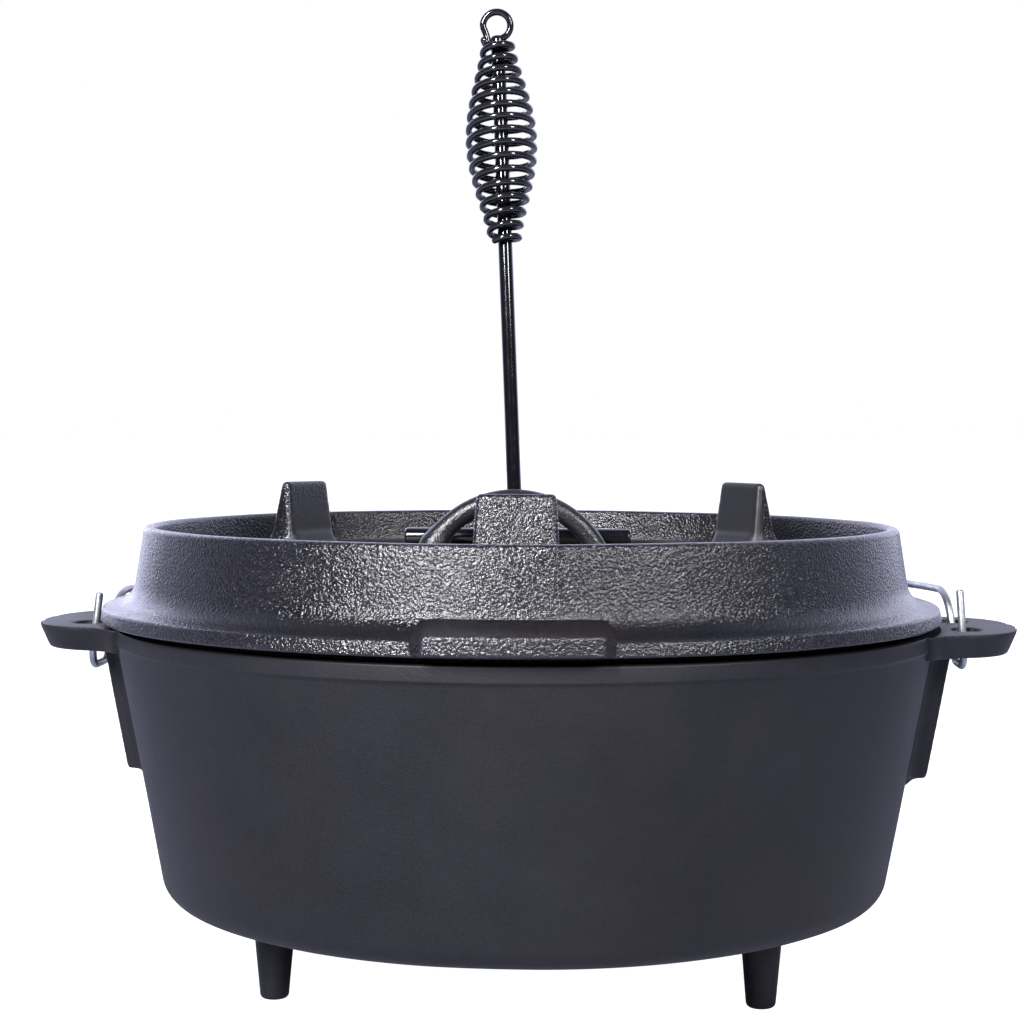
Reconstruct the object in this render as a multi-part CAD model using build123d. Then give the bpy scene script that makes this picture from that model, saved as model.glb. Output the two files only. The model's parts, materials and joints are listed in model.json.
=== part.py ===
"""Cast iron camp oven: footed pot, flanged lid with legs and loop, wire bail and lid lifter.

Millimetres, +Z up, +Y to the back. The origin is on the floor, under the pot's axis.
"""

import os
from math import atan, atan2, cos, degrees, radians, sin, tan

from build123d import *

# Pot casting
FOOT_HEIGHT = 32.0
FOOT_CIRCLE = 102.5
FOOT_TOP_RADIUS, FOOT_TIP_RADIUS = 8.0, 5.2
POT_DEPTH = 102.6
POT_BASE_RADIUS = 136.8
POT_RIM_RADIUS = 155.4
RIM_BAND_HEIGHT, RIM_BAND_STEP = 5.6, 0.8
POT_WALL, POT_FLOOR = 5.0, 6.0
POT_BASE_ROUND = 9.4

# Ears, cast on the pot's sides
EAR_TIP_X = 186.5
EAR_ROOT_X = 140.0
EAR_WIDTH = 80.0
EAR_CORNER = 28.0
EAR_DEPTH = 9.2
EAR_DRAFT = 3.8
EAR_PLATE = 5.4
EAR_SKIRT = 4.5
HOLE_X = 166.0
HOLE_WIDTH, HOLE_LENGTH = 10.0, 15.0
WEB_WIDTH = 19.0
GUSSET_WIDTH = 26.0
GUSSET_REACH = 160.6
GUSSET_SHOULDER_DROP = 16.6
GUSSET_TOE_REACH, GUSSET_TOE_DROP = 149.2, 56.3
GUSSET_END_REACH, GUSSET_END_DROP = 144.0, 60.4

# Lid casting, heights above the underside of its brim
LID_TURN, LID_SHIFT = 2.2, -1.5
BRIM_RADIUS = 160.0
BRIM_EDGE = 4.6
BRIM_GAP = 2.4
SEAT_OUTER_RADIUS = 154.6
LIP_OUTER_RADIUS, LIP_INNER_RADIUS, LIP_DROP = 148.2, 145.4, 6.0
LID_NECK_RADIUS, LID_NECK_HEIGHT = 147.0, 11.2
FLANGE_TOP_RADIUS, FLANGE_HEIGHT, FLANGE_WALL = 143.2, 35.0, 4.2
PLATE_HEIGHT, PLATE_THICKNESS, PLATE_RADIUS = 20.5, 5.0, 137.6
TAB_ARC, TAB_RADIUS, TAB_HEIGHT = 22.4, 163.6, 10.2
LEG_BASE_INNER, LEG_BASE_OUTER = 98.0, 112.0
LEG_TOP_INNER, LEG_TOP_OUTER = 102.0, 104.8
LEG_HEIGHT, LEG_BASE_WIDTH, LEG_TOP_WIDTH, LEG_CORNER = 29.5, 32.0, 26.5, 2.5
LOOP_X = -2.7
LOOP_HALF_SPAN, LOOP_RISE, LOOP_BAR = 34.0, 24.0, 8.0

# Bail wire, measured from its hinge axis in the middle of the ears' webs
BAIL_WIRE = 2.9
HOOK_HALF_WIDTH, HOOK_DROP, HOOK_BEND = 15.0, 12.3, 9.5
STUB_RISE, STUB_LEAN = 14.6, 2.6
BAIL_RISE, BAIL_RISE_BEND, BAIL_SHANK = 13.4, 9.0, 14.0
BAIL_REACH = 162.8

# Lid lifter, heights above the lid's plate
LIFTER_X, LIFTER_Y, LIFTER_LEAN = -3.8, 12.0, -2.3
ROD_WIRE, ROD_CLEARANCE = 5.6, 0.2
ROD_LENGTH = 200.0
HOOK_REACH, HOOK_TIP, LIFTER_BEND = 25.0, 16.0, 6.5
BAR_LENGTH, BAR_DIAMETER, BAR_HEIGHT, WELD_DEPTH = 89.0, 7.0, 8.6, 0.5
COIL_START, COIL_WIRE, COIL_PITCH, COIL_TURNS = 125.0, 2.7, 4.85, 15
COIL_END_RADIUS, COIL_WAIST_RADIUS, COIL_BEAD = 5.3, 13.0, 0.05
EYE_RADIUS, EYE_HEIGHT = 5.35, 207.4

RIM_Z = FOOT_HEIGHT + POT_DEPTH
BRIM_Z = RIM_Z + BRIM_GAP
PLATE_Z = BRIM_Z + PLATE_HEIGHT
HINGE_Z = RIM_Z - EAR_PLATE / 2


def turned(outline, rounds):
    """Turn an (r, z) outline about the upright axis, with the given corners rounded."""
    face = make_face(Polyline(*outline, close=True))
    for corner, radius in rounds:
        face = fillet(face.vertices().sort_by_distance(corner)[0], radius)
    return revolve(Plane.XZ * face, Axis.Z)


def bent_path(points, bends):
    """Join points by straight runs, with an arc of the given radius at each inner point."""
    points = [Vector(*point) for point in points]
    pieces, start = [], points[0]
    for before, corner, after, bend in zip(points, points[1:], points[2:], bends):
        back, ahead = (before - corner).normalized(), (after - corner).normalized()
        half = radians(back.get_angle(ahead)) / 2
        enter, leave = corner + back * (bend / tan(half)), corner + ahead * (bend / tan(half))
        middle = corner + (back + ahead).normalized() * (bend / sin(half) - bend)
        pieces += [Line(start, enter), ThreePointArc(enter, middle, leave)]
        start = leave
    return pieces + [Line(start, points[-1])]


def wire_along(pieces, diameter):
    """A round wire swept along tangent lines and arcs."""
    path = Wire(ShapeList(piece.edge() for piece in pieces))
    return sweep(Plane(path @ 0, z_dir=path % 0) * Circle(diameter / 2), path=path)


def pot_outline():
    band_z = RIM_Z - RIM_BAND_HEIGHT
    wall_top = POT_RIM_RADIUS - RIM_BAND_STEP
    return [
        (0, FOOT_HEIGHT),
        (POT_BASE_RADIUS, FOOT_HEIGHT),
        (wall_top, band_z - RIM_BAND_STEP),
        (POT_RIM_RADIUS, band_z),
        (POT_RIM_RADIUS, RIM_Z),
    ]


def pot_body():
    inside = [
        (POT_RIM_RADIUS - POT_WALL, RIM_Z),
        (POT_BASE_RADIUS - POT_WALL, FOOT_HEIGHT + POT_FLOOR),
        (0, FOOT_HEIGHT + POT_FLOOR),
    ]
    rounds = [
        ((POT_BASE_RADIUS, FOOT_HEIGHT), POT_BASE_ROUND),
        ((POT_BASE_RADIUS - POT_WALL, FOOT_HEIGHT + POT_FLOOR), POT_BASE_ROUND),
        ((POT_RIM_RADIUS, RIM_Z), 1.0),
        ((POT_RIM_RADIUS - POT_WALL, RIM_Z), 1.0),
    ]
    return turned(pot_outline() + inside, rounds)


def pot_envelope():
    """The pot's outside with no hollow, to trim what is cast onto it."""
    return turned(pot_outline() + [(0, RIM_Z)], [((POT_BASE_RADIUS, FOOT_HEIGHT), POT_BASE_ROUND)])


def ear_slab(inset, top, depth, draft):
    """The ear's rounded plan, drawn in by inset all round, and by draft more at its bottom."""

    def plan(shrink):
        tip, half = EAR_TIP_X - shrink, EAR_WIDTH / 2 - shrink
        face = make_face(Polyline(
            (EAR_ROOT_X, -half), (tip, -half), (tip, half), (EAR_ROOT_X, half), close=True
        ))
        for side in (-half, half):
            face = fillet(face.vertices().sort_by_distance((tip, side))[0], EAR_CORNER - inset)
        return face

    upper = Pos(0, 0, top) * plan(inset)
    lower = Pos(0, 0, top - depth) * plan(inset + draft)
    return loft([upper.face(), lower.face()], ruled=True)


def gusset():
    under = RIM_Z - EAR_PLATE
    side = [
        (EAR_ROOT_X, under),
        (GUSSET_REACH, under),
        (GUSSET_REACH, RIM_Z - GUSSET_SHOULDER_DROP),
        (GUSSET_TOE_REACH, RIM_Z - GUSSET_TOE_DROP),
        (GUSSET_END_REACH, RIM_Z - GUSSET_END_DROP),
        (EAR_ROOT_X - 4, RIM_Z - GUSSET_END_DROP),
    ]
    face = Plane.XZ * make_face(Polyline(*side, close=True))
    return extrude(face, GUSSET_WIDTH / 2, both=True)


def ear():
    shell = ear_slab(0, RIM_Z, EAR_DEPTH, EAR_DRAFT)
    shell -= ear_slab(EAR_SKIRT, RIM_Z - EAR_PLATE, EAR_DEPTH, EAR_DRAFT)
    shape = shell + gusset()
    slot = SlotOverall(HOLE_LENGTH, HOLE_WIDTH, rotation=90)
    for side in (-1, 1):
        centre = side * (WEB_WIDTH + HOLE_LENGTH) / 2
        shape -= Pos(HOLE_X, centre, RIM_Z) * extrude(slot, -EAR_PLATE)
    return shape - pot_envelope()


def foot():
    height = FOOT_HEIGHT
    peg = Pos(FOOT_CIRCLE, 0, height / 2) * Cone(FOOT_TIP_RADIUS, FOOT_TOP_RADIUS, height)
    return fillet(peg.edges().sort_by(Axis.Z)[0], 1.6)


def lid_body():
    top_inner = FLANGE_TOP_RADIUS - FLANGE_WALL
    outline = [
        (0, PLATE_HEIGHT - PLATE_THICKNESS),
        (PLATE_RADIUS, PLATE_HEIGHT - PLATE_THICKNESS),
        (LIP_INNER_RADIUS, -BRIM_GAP),
        (LIP_INNER_RADIUS, -LIP_DROP),
        (LIP_OUTER_RADIUS, -LIP_DROP),
        (LIP_OUTER_RADIUS, -BRIM_GAP),
        (SEAT_OUTER_RADIUS, -BRIM_GAP),
        (SEAT_OUTER_RADIUS, 0),
        (BRIM_RADIUS, 0),
        (BRIM_RADIUS, BRIM_EDGE),
        (LID_NECK_RADIUS, LID_NECK_HEIGHT),
        (FLANGE_TOP_RADIUS, FLANGE_HEIGHT),
        (top_inner, FLANGE_HEIGHT),
        (PLATE_RADIUS, PLATE_HEIGHT),
        (0, PLATE_HEIGHT),
    ]
    rounds = [
        ((PLATE_RADIUS, PLATE_HEIGHT - PLATE_THICKNESS), 6),
        ((BRIM_RADIUS, BRIM_EDGE), 1.8),
        ((LID_NECK_RADIUS, LID_NECK_HEIGHT), 5),
        ((FLANGE_TOP_RADIUS, FLANGE_HEIGHT), 1.8),
        ((top_inner, FLANGE_HEIGHT), 1.8),
        ((PLATE_RADIUS, PLATE_HEIGHT), 4),
    ]
    return turned(outline, rounds) + front_tab()


def front_tab():
    """The thickened stretch of brim at the front."""
    outline = [
        (SEAT_OUTER_RADIUS, 0),
        (TAB_RADIUS, 0),
        (TAB_RADIUS, BRIM_EDGE + 1.6),
        (SEAT_OUTER_RADIUS - 2, TAB_HEIGHT),
        (LID_NECK_RADIUS - 1.0, TAB_HEIGHT + 1.6),
        (LID_NECK_RADIUS - 1.0, BRIM_EDGE),
        (SEAT_OUTER_RADIUS - 2, BRIM_EDGE),
    ]
    face = make_face(Polyline(*outline, close=True))
    face = fillet(face.vertices().sort_by_distance((TAB_RADIUS, BRIM_EDGE + 1.6))[0], 1.2)
    return Rot(0, 0, -90 - TAB_ARC / 2) * revolve(Plane.XZ * face, Axis.Z, TAB_ARC)


def lid_leg():
    """A wedge on the lid's plate, steeper inside than outside."""
    side = [
        (LEG_BASE_INNER, 0),
        (LEG_BASE_OUTER, 0),
        (LEG_TOP_OUTER, LEG_HEIGHT),
        (LEG_TOP_INNER, LEG_HEIGHT),
    ]
    wedge = extrude(Plane.XZ * make_face(Polyline(*side, close=True)), LEG_BASE_WIDTH, both=True)
    half_base, half_top = LEG_BASE_WIDTH / 2, LEG_TOP_WIDTH / 2
    front = [(-half_base, 0), (half_base, 0), (half_top, LEG_HEIGHT), (-half_top, LEG_HEIGHT)]
    face = make_face(Polyline(*front, close=True))
    for x in (-half_top, half_top):
        face = fillet(face.vertices().sort_by_distance((x, LEG_HEIGHT))[0], LEG_CORNER)
    mask = Pos(LEG_BASE_INNER - 10, 0, 0) * extrude(Plane.YZ * face, 40)
    return wedge & mask


def loop_handle():
    """An arched bar whose two ends stand on the lid's plate."""
    buried = 4.0
    span = LOOP_HALF_SPAN + 1.2
    arc = ThreePointArc((-span, 0, -buried), (0, 0, LOOP_RISE), (span, 0, -buried))
    bar = sweep(Plane(arc @ 0, z_dir=arc % 0) * Circle(LOOP_BAR / 2), path=arc)
    block = Box(4 * span, 4 * LOOP_BAR, 4 * LOOP_RISE, align=(Align.CENTER, Align.CENTER, Align.MIN))
    return Pos(LOOP_X, 0, 0) * (bar & block)


def bail():
    """Both hooks, one through each ear's pair of holes, and the arc that joins them."""
    reach, hook_y = BAIL_REACH, HOOK_HALF_WIDTH
    centre_y = (reach**2 + BAIL_SHANK**2 - HOLE_X**2 - hook_y**2) / (2 * (reach - hook_y))
    radius = reach - centre_y
    start_angle = atan2(hook_y - centre_y, HOLE_X) + atan(BAIL_SHANK / radius)
    arc_end = (radius * cos(start_angle), centre_y + radius * sin(start_angle), BAIL_RISE)
    right = [
        (HOLE_X - STUB_LEAN, -hook_y, STUB_RISE),
        (HOLE_X, -hook_y, -HOOK_DROP),
        (HOLE_X, hook_y, -HOOK_DROP),
        (HOLE_X, hook_y, BAIL_RISE),
        arc_end,
    ]
    left = [(-x, y, z) for x, y, z in reversed(right)]
    bends = [HOOK_BEND, HOOK_BEND, BAIL_RISE_BEND]
    arc = ThreePointArc(right[-1], (0, reach, BAIL_RISE), left[0])
    path = bent_path(right, bends) + [arc] + bent_path(left, bends[::-1])
    return Pos(0, 0, HINGE_Z) * wire_along(path, BAIL_WIRE)


def lifter_place():
    """Where the lifter's foot stands, with its lean to the left."""
    return Pos(LIFTER_X, LIFTER_Y, PLATE_Z) * Rot(0, LIFTER_LEAN, 0)


def lifter_rod():
    """The straight shank, bent forwards at the bottom into a hook that turns up again."""
    low = ROD_WIRE / 2 + ROD_CLEARANCE
    points = [
        (0, 0, ROD_LENGTH),
        (0, 0, low),
        (0, -HOOK_REACH, low),
        (0, -HOOK_REACH, HOOK_TIP),
    ]
    return lifter_place() * wire_along(bent_path(points, [LIFTER_BEND] * 2), ROD_WIRE)


def cross_bar():
    """A level bar welded to the back of the shank."""
    bar = Cylinder(BAR_DIAMETER / 2, BAR_LENGTH, rotation=(0, 90, 0))
    bar = chamfer(bar.edges().filter_by(GeomType.CIRCLE), 0.6)
    behind = (ROD_WIRE + BAR_DIAMETER) / 2 - WELD_DEPTH
    return Pos(LIFTER_X, LIFTER_Y + behind, PLATE_Z + BAR_HEIGHT) * bar - lifter_rod()


def coil_grip():
    """Wire wound round the shank: two conical helices that meet at the widest turn."""
    height = COIL_PITCH * COIL_TURNS / 2
    cone = atan((COIL_WAIST_RADIUS - COIL_END_RADIUS) / height)
    slant_pitch = COIL_PITCH / cos(cone)
    spiral = Helix(slant_pitch, height, COIL_END_RADIUS, cone_angle=degrees(cone))
    section = Plane(spiral @ 0, z_dir=spiral % 0) * Circle(COIL_WIRE / 2)
    lower = sweep(section, path=spiral, is_frenet=True)
    upper = Pos(0, 0, 2 * height) * Rot(180, 0, 0) * lower
    bead = Pos(*(spiral @ 1)) * Sphere(COIL_WIRE / 2 + COIL_BEAD)
    return lifter_place() * Pos(0, 0, COIL_START) * (lower + bead + upper)


def hanging_eye():
    """The ring on top that the grip's wire ends in."""
    return lifter_place() * Pos(0, 0, EYE_HEIGHT) * Rot(90, 0, 0) * Torus(EYE_RADIUS, COIL_WIRE / 2)


lid_place = Pos(LID_SHIFT, 0, BRIM_Z) * Rot(0, 0, LID_TURN)
plate_place = Pos(LID_SHIFT, 0, PLATE_Z) * Rot(0, 0, LID_TURN)
right_ear, one_foot, one_leg = ear(), foot(), lid_leg()

parts = {
    "pot_body": pot_body(),
    "ear_right": right_ear,
    "ear_left": Rot(0, 0, 180) * right_ear,
    "lid_body": lid_place * lid_body(),
    "lid_loop_handle": plate_place * loop_handle(),
    "bail_handle": bail(),
    "lifter_rod": lifter_rod(),
    "lifter_cross_bar": cross_bar(),
    "lifter_coil_grip": coil_grip(),
    "lifter_hanging_eye": hanging_eye(),
}
for name, azimuth in (("rear", 90), ("front_left", 210), ("front_right", 330)):
    parts[f"foot_{name}"] = Rot(0, 0, azimuth) * one_foot
for name, azimuth in (("front", 270), ("rear_right", 30), ("rear_left", 150)):
    parts[f"lid_leg_{name}"] = plate_place * Rot(0, 0, azimuth) * one_leg

for name, shape in parts.items():
    export_step(shape, f"parts/{name}.step")
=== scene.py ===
"""Cast iron camp oven: finished castings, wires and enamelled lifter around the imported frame."""

import json
from math import atan, atan2, cos, exp, pi, radians, sin, tan

import bpy
from bpy.props import FloatProperty, FloatVectorProperty, IntProperty, PointerProperty
from mathutils import Matrix, Vector


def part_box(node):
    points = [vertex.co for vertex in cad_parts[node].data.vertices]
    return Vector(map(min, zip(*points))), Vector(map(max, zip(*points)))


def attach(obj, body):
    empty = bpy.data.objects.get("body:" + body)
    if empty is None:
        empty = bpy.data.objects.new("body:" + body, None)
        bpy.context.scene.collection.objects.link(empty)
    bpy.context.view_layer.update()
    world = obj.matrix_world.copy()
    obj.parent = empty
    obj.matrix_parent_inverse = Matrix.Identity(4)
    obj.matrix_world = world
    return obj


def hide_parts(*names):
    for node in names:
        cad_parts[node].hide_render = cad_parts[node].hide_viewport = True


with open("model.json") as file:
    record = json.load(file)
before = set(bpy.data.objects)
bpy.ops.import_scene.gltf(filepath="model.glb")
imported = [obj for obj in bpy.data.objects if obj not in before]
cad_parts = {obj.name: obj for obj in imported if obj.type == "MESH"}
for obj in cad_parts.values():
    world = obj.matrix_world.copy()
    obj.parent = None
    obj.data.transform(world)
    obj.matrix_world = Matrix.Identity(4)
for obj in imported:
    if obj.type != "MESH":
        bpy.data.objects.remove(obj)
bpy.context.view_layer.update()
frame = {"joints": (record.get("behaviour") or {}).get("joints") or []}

bl_info = {
    "name": "Camp Oven",
    "version": (1, 0, 0),
    "blender": (4, 5, 0),
    "location": "View3D > Sidebar > Camp Oven",
    "description": "Models a footed cast iron camp oven with its lid, bail and lid lifter",
    "category": "Object",
}

SIDES = (-1, 1)

pot_low, pot_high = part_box("pot_body")
_, ear_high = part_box("ear_right")
_, foot_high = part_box("foot_rear")
lid_low, lid_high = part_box("lid_body")
_, leg_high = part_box("lid_leg_front")
loop_low, loop_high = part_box("lid_loop_handle")
bail_low, bail_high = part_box("bail_handle")
_, rod_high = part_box("lifter_rod")
bar_low, bar_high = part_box("lifter_cross_bar")
coil_low, coil_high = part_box("lifter_coil_grip")
eye_low, eye_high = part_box("lifter_hanging_eye")

RIM_Z = pot_high.z
BRIM_Z = RIM_Z + 0.0024
PLATE_Z = loop_low.z
FLANGE_Z = lid_high.z


# Sizes and colours that a user would change


def length(name, description, default):
    return FloatProperty(
        name=name, description=description, default=default, min=0.0, unit="LENGTH", precision=4
    )


def colour(name, description, default):
    return FloatVectorProperty(
        name=name, description=description, default=default, size=4, subtype="COLOR", min=0, max=1
    )


class PotSizes(bpy.types.PropertyGroup):
    rim_radius: length("Rim radius", "Outside of the pot at its rim", pot_high.x)
    base_radius: length("Base radius", "Outside of the pot where wall and base would meet", 0.1368)
    wall: length("Wall", "Thickness of the pot's wall", 0.005)
    floor: length("Floor", "Thickness of the pot's floor", 0.006)
    base_round: length("Base rounding", "Radius between wall and base", 0.0094)
    band_height: length("Rim band", "Height of the thicker band at the rim", 0.0056)
    band_step: length("Band step", "How far the band stands out", 0.0008)
    ear_plate: length("Ear plate", "Thickness of the ear around its holes", 0.0054)
    hole_width: length("Hole width", "Width of the holes for the bail", 0.0106)
    foot_tip: length("Foot tip", "Radius of a foot where it stands", 0.0052)
    foot_top: length("Foot top", "Radius of a foot below the pot", 0.0080)


class LidSizes(bpy.types.PropertyGroup):
    turn: FloatProperty(
        name="Turn", description="How far the lid is turned on the pot", default=radians(2.2),
        subtype="ANGLE",
    )
    brim_radius: length("Brim radius", "Outside of the lid's brim", 0.1594)
    brim_edge: length("Brim edge", "Height of the brim's upright edge", 0.0052)
    neck_radius: length("Neck radius", "Where the brim meets the flange", 0.1475)
    top_radius: length("Flange radius", "Outside of the flange at its top", 0.1432)
    flange_wall: length("Flange wall", "Thickness of the flange", 0.0042)
    plate: length("Plate", "Thickness of the lid's plate", 0.005)
    loop_bar: length("Loop bar", "Thickness of the lid's loop", 0.008)
    loop_offset: FloatProperty(
        name="Loop offset", description="How far right of the lid's middle the loop is cast",
        default=-0.0027, unit="LENGTH", precision=4,
    )
    leg_width: length("Leg width", "Width of a lid leg at its foot", 0.032)
    tab_face: length("Tab", "Width of the front tab's face", 0.0565)


class WireSizes(bpy.types.PropertyGroup):
    bail_wire: length("Bail wire", "Thickness of the bail's wire", 0.0029)
    rod_wire: length("Rod", "Thickness of the lifter's shank", 0.0056)
    bar_wire: length("Cross bar", "Thickness of the lifter's cross bar", bar_high.z - bar_low.z)
    coil_wire: length("Coil wire", "Thickness of the grip's wire", 0.0027)
    coil_waist: length("Grip", "Greatest thickness of the coil grip", coil_high.x - coil_low.x)
    coil_turns: IntProperty(
        name="Turns", description="Turns of wire in the grip", default=16, min=3, max=40
    )


class Finishes(bpy.types.PropertyGroup):
    iron: colour("Iron", "Seasoned cast iron", (0.0046, 0.0045, 0.0064, 1))
    iron_worn: colour(
        "Worn iron", "Where the seasoning has rubbed thin", (0.0150, 0.0145, 0.0190, 1)
    )
    iron_brown: colour("Browned iron", "Patches of thinner seasoning", (0.0075, 0.0052, 0.0055, 1))
    zinc: colour("Zinc", "Plated wire", (0.56, 0.57, 0.59, 1))
    zinc_dull: colour("Dull zinc", "Weathered plating", (0.30, 0.31, 0.33, 1))
    enamel: colour("Enamel", "Gloss coat on the lifter", (0.003, 0.003, 0.004, 1))
    floor: colour("Floor", "The ground that the oven stands on", (0.30, 0.31, 0.38, 1))


# Modelling by hand operations


def pick(*objects):
    bpy.ops.object.select_all(action="DESELECT")
    for obj in objects:
        obj.select_set(True)
    bpy.context.view_layer.objects.active = objects[-1]


def edit(obj):
    pick(obj)
    bpy.ops.object.mode_set(mode="EDIT")
    bpy.ops.mesh.select_all(action="SELECT")


def done():
    bpy.ops.object.mode_set(mode="OBJECT")
    bpy.ops.object.select_all(action="DESELECT")


def outline_ring(name, points, filled):
    """A ring of edges through the given points, filled or open."""
    bpy.ops.object.select_all(action="DESELECT")
    bpy.ops.mesh.primitive_circle_add(
        vertices=len(points), radius=1, fill_type="NGON" if filled else "NOTHING"
    )
    obj = bpy.context.object
    obj.name = obj.data.name = name
    for vertex, point in zip(obj.data.vertices, points):
        vertex.co = point
    return obj


def rounded(points, radii, step=radians(9)):
    """An outline with arcs in place of its corners; a radius of 0 keeps the corner."""
    made = []
    for i, (point, radius) in enumerate(zip(points, radii)):
        corner = Vector(point)
        if not radius:
            made.append(corner)
            continue
        back = (Vector(points[i - 1]) - corner).normalized()
        ahead = (Vector(points[(i + 1) % len(points)]) - corner).normalized()
        half = back.angle(ahead) / 2
        start, end = corner + back * (radius / tan(half)), corner + ahead * (radius / tan(half))
        centre = corner + (back + ahead).normalized() * (radius / sin(half))
        count = max(2, round((pi - 2 * half) / step))
        for k in range(count + 1):
            ray = (start - centre).lerp(end - centre, k / count)
            if 0 < k < count:
                share = k / count * (pi - 2 * half)
                ray = slerp(start - centre, end - centre, share, pi - 2 * half)
            made.append(centre + ray)
    return made


def slerp(first, last, angle, whole):
    return first * (sin(whole - angle) / sin(whole)) + last * (sin(angle) / sin(whole))


def refined(points, longest):
    """The outline with its long runs divided, so that they can take a little unevenness."""
    made = []
    for here, there in zip(points, points[1:]):
        count = max(1, round((there - here).length / longest))
        made += [here.lerp(there, k / count) for k in range(count)]
    return made + [points[-1]]


def turned(name, outline, steps):
    """Spin an (r, z) outline, both ends of which lie on the axis, into a closed body."""
    obj = outline_ring(name, [(r, 0, z) for r, z in outline], filled=False)
    edit(obj)
    bpy.ops.mesh.spin(steps=steps, angle=2 * pi, center=(0, 0, 0), axis=(0, 0, 1))
    bpy.ops.mesh.select_all(action="SELECT")
    bpy.ops.mesh.remove_doubles(threshold=1e-6)
    bpy.ops.mesh.delete_loose(use_verts=True, use_edges=True, use_faces=False)
    bpy.ops.mesh.select_all(action="SELECT")
    bpy.ops.mesh.normals_make_consistent(inside=False)
    done()
    return obj


def swept_sector(name, outline, start, angle, steps):
    """Spin a filled (r, z) outline through part of a turn."""
    points = [(r * cos(start), r * sin(start), z) for r, z in outline]
    obj = outline_ring(name, points, filled=True)
    edit(obj)
    bpy.ops.mesh.spin(steps=steps, angle=-angle, center=(0, 0, 0), axis=(0, 0, 1))
    bpy.ops.mesh.select_all(action="SELECT")
    bpy.ops.mesh.normals_make_consistent(inside=False)
    done()
    return obj


def extruded(name, points, move, scale=(1, 1, 1), pivot=(0, 0, 0)):
    """Fill an outline, extrude it, and resize its far face about a pivot."""
    obj = outline_ring(name, points, filled=True)
    edit(obj)
    bpy.ops.mesh.extrude_region_move(TRANSFORM_OT_translate={"value": move})
    if tuple(scale) != (1, 1, 1):
        bpy.ops.transform.resize(value=scale, center_override=pivot)
    bpy.ops.mesh.select_all(action="SELECT")
    bpy.ops.mesh.normals_make_consistent(inside=False)
    done()
    return obj


def apply_modifier(obj, kind, **settings):
    pick(obj)
    bpy.ops.object.modifier_add(type=kind)
    modifier = obj.modifiers[-1]
    for key, value in settings.items():
        setattr(modifier, key, value)
    bpy.ops.object.modifier_apply(modifier=modifier.name)
    bpy.ops.object.select_all(action="DESELECT")


def combine(obj, operation, *others):
    """Boolean each other body into or out of obj, and delete it."""
    for other in others:
        apply_modifier(obj, "BOOLEAN", operation=operation, object=other, solver="MANIFOLD")
        bpy.data.objects.remove(other)
    return obj


def cast_together(obj, grain, passes):
    """Remesh overlapping bodies into one skin, with every corner and joint rounded."""
    apply_modifier(obj, "REMESH", mode="VOXEL", voxel_size=grain)
    apply_modifier(obj, "SMOOTH", factor=0.5, iterations=passes)
    return obj


def turned_copy(obj, angle, name):
    """A copy with its own mesh, turned about the upright axis."""
    pick(obj)
    bpy.ops.object.duplicate()
    copy = bpy.context.object
    copy.name = copy.data.name = name
    copy.data.transform(Matrix.Rotation(angle, 4, "Z"))
    bpy.ops.object.select_all(action="DESELECT")
    return copy


def uneven(obj, scale, strength):
    """The slight waviness that a sand mould leaves."""
    clouds = bpy.data.textures.new(obj.name + "_waves", "CLOUDS")
    clouds.noise_scale = scale
    clouds.noise_depth = 1
    apply_modifier(
        obj, "DISPLACE", texture=clouds, strength=strength, mid_level=0.5, texture_coords="LOCAL"
    )


def smooth(obj, angle):
    pick(obj)
    bpy.ops.object.shade_smooth_by_angle(angle=radians(angle))
    bpy.ops.object.select_all(action="DESELECT")


def bent(points, bends, step=radians(8)):
    """A route of straight runs joined by arcs, as a list of points."""
    route = [Vector(points[0])]
    for before, corner, after, bend in zip(points, points[1:], points[2:], bends):
        before, corner, after = Vector(before), Vector(corner), Vector(after)
        back, ahead = (before - corner).normalized(), (after - corner).normalized()
        half = back.angle(ahead) / 2
        start, end = corner + back * (bend / tan(half)), corner + ahead * (bend / tan(half))
        centre = corner + (back + ahead).normalized() * (bend / sin(half))
        whole = pi - 2 * half
        count = max(2, round(whole / step))
        for k in range(count + 1):
            route.append(centre + slerp(start - centre, end - centre, whole * k / count, whole))
    return route + [Vector(points[-1])]


def wire(name, route, radius, sides, blunt=0.6):
    """A round wire along a route, with rounded ends."""
    bpy.ops.object.select_all(action="DESELECT")
    bpy.ops.curve.primitive_nurbs_path_add(radius=1)
    obj = bpy.context.object
    obj.name = obj.data.name = name
    curve = obj.data
    curve.splines.clear()
    ends = blunt * radius
    tips = [(0, 0.55), (0.3, 0.86), (1, 1)]
    first, last = route[0], route[-1]
    into, out = (route[1] - first).normalized(), (route[-2] - last).normalized()
    points = [(first + into * ends * share, size) for share, size in tips]
    points += [(point, 1) for point in route[1:-1]]
    points += [(last + out * ends * share, size) for share, size in reversed(tips)]
    spline = curve.splines.new("POLY")
    spline.points.add(len(points) - 1)
    for target, (place, size) in zip(spline.points, points):
        target.co = (*place, 1)
        target.radius = size
    curve.dimensions = "3D"
    curve.bevel_depth = radius
    curve.bevel_resolution = sides
    curve.use_fill_caps = True
    pick(obj)
    bpy.ops.object.convert(target="MESH")
    obj = bpy.context.object
    edit(obj)
    bpy.ops.mesh.remove_doubles(threshold=1e-6)
    bpy.ops.mesh.normals_make_consistent(inside=False)
    done()
    return obj


def finish_piece(obj, body, slot, material, *nodes, angle=40):
    smooth(obj, angle)
    obj.data.materials.clear()
    obj.data.materials.append(material)
    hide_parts(*nodes)
    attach(obj, body)


# Materials


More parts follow.
